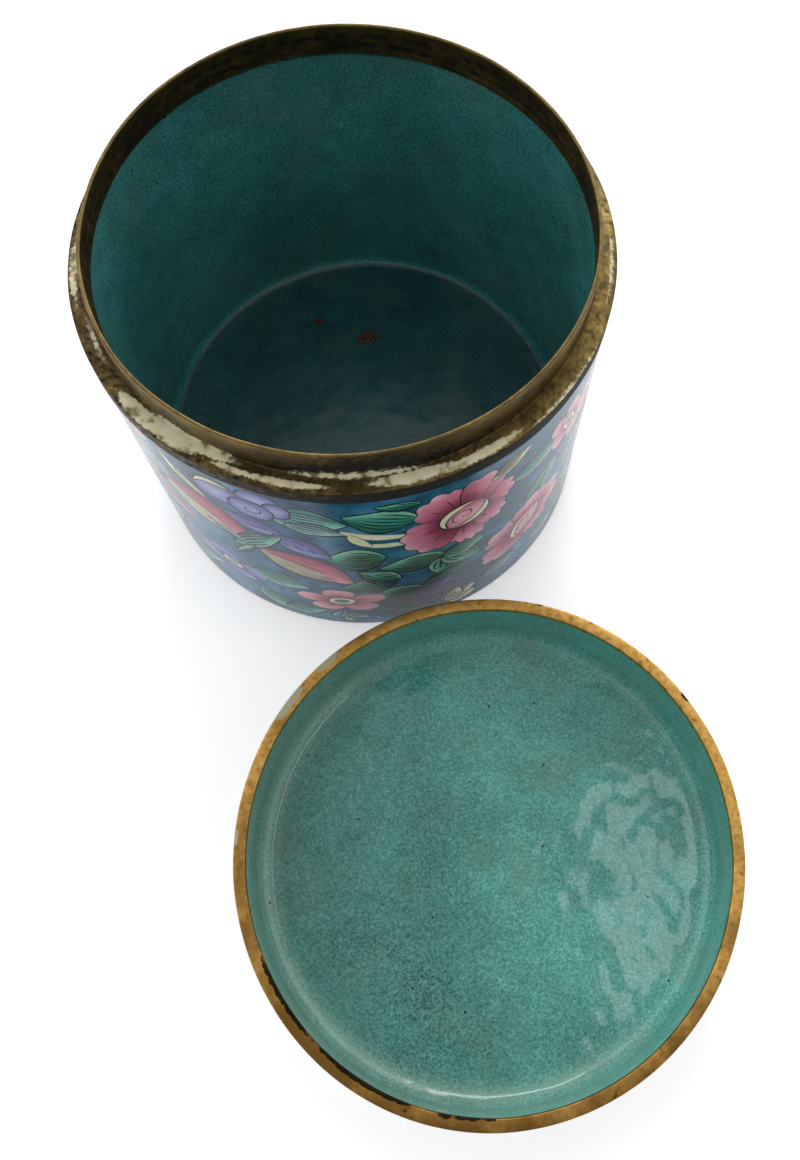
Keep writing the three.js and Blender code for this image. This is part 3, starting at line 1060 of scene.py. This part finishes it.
def make_collar(sizes, colours):
    """The brass collar: band, ledge and neck in one piece, with residue standing on the ledge."""
    shape = bmesh.new()
    edge = sizes.edge_round
    radius = sizes.mount_radius
    ledge = sizes.neck_top - sizes.neck_height
    neck_outer = radius - (sizes.mount_radius - sizes.enamel_radius) - sizes.lid_wall
    neck_outer -= sizes.ring_overhang + sizes.lid_clearance
    neck_inner = neck_outer - sizes.neck_thickness
    band_inner = radius - sizes.band_thickness
    jar_inner = sizes.enamel_radius - sizes.wall
    profile = [(band_inner, sizes.collar_bottom), (radius, sizes.collar_bottom)]
    profile += arc(radius - edge, ledge - edge, edge, 0, 90, 4)
    profile += [(neck_outer + 0.3 * MM, ledge), (neck_outer, ledge + 0.3 * MM)]
    profile += arc(neck_outer - edge, sizes.neck_top - edge, edge, 0, 90, 4)
    profile += arc(neck_inner + edge, sizes.neck_top - edge, edge, 90, 180, 4)
    profile += [
        (neck_inner + sizes.neck_lean, ledge),
        (jar_inner, ledge - sizes.ledge_thickness),
        (band_inner, ledge - sizes.ledge_thickness),
        (band_inner, sizes.collar_bottom),
    ]
    spin_profile(shape, finer(profile, 0.45 * MM), COLLAR_STEPS)
    bmesh.ops.remove_doubles(shape, verts=shape.verts, dist=MERGED)
    bright = shape.verts.layers.float.new("bright")
    dark = shape.verts.layers.float.new("dark")
    crust = shape.verts.layers.float.new("crust")
    for vert in shape.verts:
        co = vert.co
        far = math.hypot(co.x, co.y)
        angle = math.degrees(math.atan2(co.y, co.x))
        out = Vector((co.x, co.y, 0.0)) / far
        on_ledge = abs(co.z - ledge) < 0.15 * MM and far > neck_outer - 0.1 * MM
        outside = neck_outer - 0.15 * MM < far < neck_outer + 0.6 * MM and co.z > ledge
        inside = far < neck_outer - 0.5 * MM and co.z < sizes.neck_top - edge
        lip = co.z > sizes.neck_top - 0.6 * edge
        band = far > radius - 0.3 * edge and co.z < ledge - 0.5 * edge
        rough = noise.fractal(co * 900.0, 0.7, 2.0, 4)
        height = (co.z - ledge) / sizes.neck_height
        # Painted light and shade by angle round the collar: the first weight darkens the neck's front, the
        # second lightens the ledge and darkens the band towards the front right
        painted_front_shade = 0.5 + 0.5 * math.cos(math.radians(angle + 98))
        painted_light_by_angle = 0.5 + 0.5 * math.cos(math.radians(angle + 40))
        weight = patch_weight(RESIDUE, angle, far)
        if lip:
            vert[bright] = 0.15 + 0.6 * rough
            vert[dark] = 0.3
        elif inside:
            # Two rows of black pits run round inside the neck
            rows = max(math.exp(-(((height - row) / 0.09) ** 2)) for row in (0.3, 0.62))
            pitted = min(1.0, max(0.0, noise.noise(co * 420.0) + 0.1) * 5.0)
            vert[dark] = 0.42 + 0.25 * rough + 0.6 * rows * pitted
        elif band:
            # Painted shade: the band is darker towards the front right
            vert[dark] = min(0.6 + 0.4 * painted_light_by_angle ** 2 + 0.2 * rough, 0.86)
        elif on_ledge:
            # Painted light and shade: the ledge is lighter towards the front right and darker towards the
            # back left
            vert[dark] = 0.5 - 0.3 * painted_light_by_angle ** 2 + 0.5 * rough
            vert[crust] = weight
            co.z += min(max(0.0, weight + 0.2 * rough - 0.4), 0.5) * 0.4 * MM
        elif outside:
            stain = 0.7 * math.exp(-(((angle + 62) / 3.5) ** 2) - ((height - 0.6) / 0.3) ** 2)
            # Painted shade: the neck's outside is darker at the front and towards its foot, besides the
            # stain
            vert[dark] = max(stain, 0.9 * painted_front_shade ** 10 + 0.45 * (0.3 - height) + 0.2 * rough, 0.0)
            vert[crust] = 0.8 * weight * max(0.0, 1.0 - height / 0.28)
        co += out * hand_raised(co, 0.3 * MM)
        if co.z > ledge + 1 * MM:
            co += out * 0.25 * MM * math.sin(2 * math.radians(angle) + 0.6)
    settle(shape)
    materials = [collar_brass(colours)]
    return finish_piece(shape, "brass_collar", "jar_collar", materials, JAR_AXIS)


def make_lid(sizes, colours):
    """The lid's dish: turquoise enamel inside, painted enamel outside."""
    shape = bmesh.new()
    radius = sizes.enamel_radius
    inner = radius - sizes.lid_wall
    rebate = sizes.mount_radius - sizes.band_thickness - sizes.seam
    rim = sizes.lid_height - sizes.ring_thickness - sizes.seam
    wall_high = sizes.lid_height - sizes.ring_height - sizes.seam
    corner = sizes.lid_corner
    painting = Painting(corner / MM, wall_high / MM)
    draw = random.Random(5)
    around = TURN * radius / MM
    middle = (painting.low + painting.high) / 2
    count = 10
    for i in range(count):
        x = -around / 2 + around * (i + 0.5) / count
        paint = ("pink", "violet", "rose")[i % 3]
        paint_leaf(painting, Place(x - 10.5, middle + draw.uniform(-1, 1), 170, 5.4, 2.4), "sea")
        paint_leaf(painting, Place(x + 10.5, middle + draw.uniform(-1, 1), 12, 5.4, 2.4), "green")
        paint_blossom(painting, Place(x, middle, 0, 7.0, 5.6), paint, 5, draw.uniform(0, 1))
    lay_on_wall(shape, painting, radius, depth=0.12 * MM, rows=8)
    below = [(0.0, 0.0)] + arc(radius - corner, corner, corner, -90, 0, 10)
    top_side = bmesh.new()
    spin_profile(top_side, finer(below, 5 * MM), WALL_STEPS)
    take_in(shape, top_side)
    outside = set(shape.faces)
    ceiling = sizes.lid_top
    above = [(radius, wall_high), (rebate, wall_high), (rebate, rim), (inner, rim)]
    above += arc(inner - sizes.lid_fillet, ceiling + sizes.lid_fillet, sizes.lid_fillet, 0, -90, 8)
    above += [(0.0, ceiling)]
    inside = bmesh.new()
    spin_profile(inside, finer(above, 2.5 * MM), WALL_STEPS)
    waver(inside, depth=0.2 * MM, keep=(wall_high,))
    take_in(shape, inside)
    settle(shape)
    for face in shape.faces:
        face.material_index = 0 if face in outside else 1
    tones = (colours.lid_dark, colours.lid_mid, colours.lid_pale)
    # A painted highlight line round the corner inside the lid
    lid_corner = (inner - sizes.lid_fillet + 1 * MM, 1.5 * MM)
    turquoise = plain_enamel("turquoise_enamel_lid", tones, 0.05, LID_AXIS, (2.6, 1.4, 0.0), lid_corner)
    materials = [bpy.data.materials["painted_blue_enamel"], turquoise]
    piece = finish_piece(shape, "enamelled_lid", "lid_shell", materials, LID_AXIS)
    keep_true_normals(piece)
    return piece


def make_ring(sizes, colours):
    """The brass ring on the lid's edge."""
    shape = bmesh.new()
    edge = sizes.edge_round
    radius = sizes.mount_radius
    top = sizes.lid_height
    low = top - sizes.ring_height
    inner = sizes.enamel_radius - sizes.lid_wall - sizes.ring_overhang
    band_inner = radius - sizes.band_thickness
    profile = [(band_inner, low), (radius, low)]
    profile += arc(radius - edge, top - edge, edge, 0, 90, 4)
    profile += arc(inner + 0.3 * MM, top - 0.3 * MM, 0.3 * MM, 90, 180, 3)
    under = top - sizes.ring_thickness
    profile += [(inner, under), (band_inner, under), (band_inner, low)]
    spin_profile(shape, finer(profile, 0.8 * MM), RING_STEPS)
    bmesh.ops.remove_doubles(shape, verts=shape.verts, dist=MERGED)
    peeled = shape.verts.layers.float.new("peeled")
    chipped = shape.verts.layers.float.new("chipped")
    for vert in shape.verts:
        angle = math.degrees(math.atan2(vert.co.y, vert.co.x))
        far = math.hypot(vert.co.x, vert.co.y)
        vert[peeled] = patch_weight(PEELED, angle, far)
        vert[chipped] = patch_weight(CHIPPED, angle, far)
    waver(shape, depth=0.2 * MM)
    settle(shape)
    materials = [ring_brass(colours)]
    return finish_piece(shape, "brass_lid_ring", "lid_ring", materials, LID_AXIS)


# The stage

CAMERA_AT = Vector((-17.53, -77.89, 267.77)) * MM
CAMERA_YAW = math.radians(21.02)
CAMERA_PITCH = 1.184
CAMERA_ROLL = 0.094
FOCAL_PIXELS = 1101.745
FRAME_WIDTH, FRAME_HEIGHT = 800, 1160
CENTRE_PIXEL = (480.0, 520.0)
SENSOR = 36.0


def make_camera():
    """The photograph's camera: its place, its turn, its lens and the offset of its crop."""
    forward = Vector(
        (
            math.sin(CAMERA_YAW) * math.cos(CAMERA_PITCH),
            math.cos(CAMERA_YAW) * math.cos(CAMERA_PITCH),
            -math.sin(CAMERA_PITCH),
        )
    )
    level = Vector((math.cos(CAMERA_YAW), -math.sin(CAMERA_YAW), 0.0))
    upright = level.cross(forward)
    right = level * math.cos(CAMERA_ROLL) + upright * math.sin(CAMERA_ROLL)
    up = upright * math.cos(CAMERA_ROLL) - level * math.sin(CAMERA_ROLL)
    data = bpy.data.cameras.new("camera")
    data.sensor_width = SENSOR
    data.lens = FOCAL_PIXELS / FRAME_HEIGHT * SENSOR
    data.shift_x = (FRAME_WIDTH / 2 - CENTRE_PIXEL[0]) / FRAME_HEIGHT
    data.shift_y = (CENTRE_PIXEL[1] - FRAME_HEIGHT / 2) / FRAME_HEIGHT
    data.clip_start = 0.01
    camera = bpy.data.objects.new("camera", data)
    turned = Matrix((right, up, -forward)).transposed().to_4x4()
    camera.matrix_world = Matrix.Translation(CAMERA_AT) @ turned
    bpy.context.scene.collection.objects.link(camera)
    bpy.context.scene.camera = camera


def make_light(name, place, target, width, height, power):
    """A soft rectangular light aimed at a point."""
    data = bpy.data.lights.new(name, "AREA")
    data.shape = "RECTANGLE"
    data.size, data.size_y = width, height
    data.energy = power
    light = bpy.data.objects.new(name, data)
    light.location = place
    light.rotation_euler = (Vector(target) - Vector(place)).to_track_quat("-Z", "Y").to_euler()
    bpy.context.scene.collection.objects.link(light)


def make_stage():
    """A pale floor, soft lights and the camera."""
    scene = bpy.context.scene
    shape = bmesh.new()
    bmesh.ops.create_grid(shape, x_segments=1, y_segments=1, size=3.0)
    mesh = bpy.data.meshes.new("floor")
    shape.to_mesh(mesh)
    shape.free()
    floor = bpy.data.objects.new("floor", mesh)
    floor.location.z = cad_low.z - 0.05 * MM
    scene.collection.objects.link(floor)
    material, tree, shader = new_material("white_paper")
    shader.inputs["Base Color"].default_value = rgba("#f4f4f4")
    shader.inputs["Roughness"].default_value = 0.9
    shader.inputs["Emission Color"].default_value = rgba("#ffffff")
    shader.inputs["Emission Strength"].default_value = 0.35
    mesh.materials.append(material)
    world = bpy.data.worlds.new("studio")
    world.use_nodes = True
    # A room that is bright low down and behind the jar, and dark overhead where the viewer stands
    tree = world.node_tree
    way = add(tree, PLACE, {}, "Generated")
    height = add(tree, SPLIT, {0: way}, "Z")
    depth = add(tree, SPLIT, {0: way}, "Y")
    by_height = add(tree, RAMP, {"Fac": height}, stops=((0.0, 0.55), (0.6, 1.0), (0.85, 0.52), (1.0, 0.42)))
    centred = add(tree, MATHS, {0: depth, 1: 0.5, 2: 0.5}, operation="MULTIPLY_ADD")
    by_depth = add(tree, RAMP, {"Fac": centred}, stops=((0.1, 0.25), (0.8, 1.0)))
    light = add(tree, MIX, {FACTOR: 1.0, FIRST: by_height, SECOND: by_depth}, RESULT, **TIMES)
    tree.links.new(light, tree.nodes["Background"].inputs["Color"])
    tree.nodes["Background"].inputs["Strength"].default_value = 2.1
    scene.world = world
    # The window that shows in the lid's floor
    make_light("window", (0.158, -0.085, 0.70), (0.03, -0.07, 0.0), width=0.20, height=0.065, power=0.1)
    make_light("key", (0.25, 0.75, 0.60), (0.0, 0.0, 0.04), width=0.5, height=0.5, power=4.0)
    scene.view_settings.view_transform = "Standard"
    make_camera()


# Operators and the panel


class ENAMELJAR_OT_stage(bpy.types.Operator):
    """Make the floor, the lights and the camera"""

    bl_idname = "enameljar.stage"
    bl_label = "Stage"

    def execute(self, context):
        make_stage()
        return {"FINISHED"}


class ENAMELJAR_OT_body(bpy.types.Operator):
    """Make the painted jar"""

    bl_idname = "enameljar.body"
    bl_label = "Jar"

    def execute(self, context):
        make_jar_body(context.scene.enamel_jar_sizes, context.scene.enamel_jar_colours)
        return {"FINISHED"}


class ENAMELJAR_OT_collar(bpy.types.Operator):
    """Make the brass collar on the jar's mouth"""

    bl_idname = "enameljar.collar"
    bl_label = "Collar"

    def execute(self, context):
        make_collar(context.scene.enamel_jar_sizes, context.scene.enamel_jar_colours)
        return {"FINISHED"}


class ENAMELJAR_OT_lid(bpy.types.Operator):
    """Make the lid and its brass ring"""

    bl_idname = "enameljar.lid"
    bl_label = "Lid"

    def execute(self, context):
        make_lid(context.scene.enamel_jar_sizes, context.scene.enamel_jar_colours)
        make_ring(context.scene.enamel_jar_sizes, context.scene.enamel_jar_colours)
        return {"FINISHED"}


class ENAMELJAR_PT_panel(bpy.types.Panel):
    """Lists the jar's pieces"""

    bl_idname = "ENAMELJAR_PT_panel"
    bl_label = "Enamel jar"
    bl_space_type = "VIEW_3D"
    bl_region_type = "UI"
    bl_category = "Enamel jar"

    def draw(self, context):
        for operator in OPERATORS:
            self.layout.operator(operator.bl_idname)


OPERATORS = (ENAMELJAR_OT_stage, ENAMELJAR_OT_body, ENAMELJAR_OT_collar, ENAMELJAR_OT_lid)
CLASSES = (EnamelJarSizes, EnamelJarColours, *OPERATORS, ENAMELJAR_PT_panel)


def register():
    for each in CLASSES:
        bpy.utils.register_class(each)
    bpy.types.Scene.enamel_jar_sizes = bpy.props.PointerProperty(type=EnamelJarSizes)
    bpy.types.Scene.enamel_jar_colours = bpy.props.PointerProperty(type=EnamelJarColours)


def unregister():
    del bpy.types.Scene.enamel_jar_colours
    del bpy.types.Scene.enamel_jar_sizes
    for each in reversed(CLASSES):
        bpy.utils.unregister_class(each)


def main():
    """Makes the whole scene."""
    register()
    bpy.ops.enameljar.stage()
    bpy.ops.enameljar.body()
    bpy.ops.enameljar.collar()
    bpy.ops.enameljar.lid()


if __name__ == "__main__":
    main()
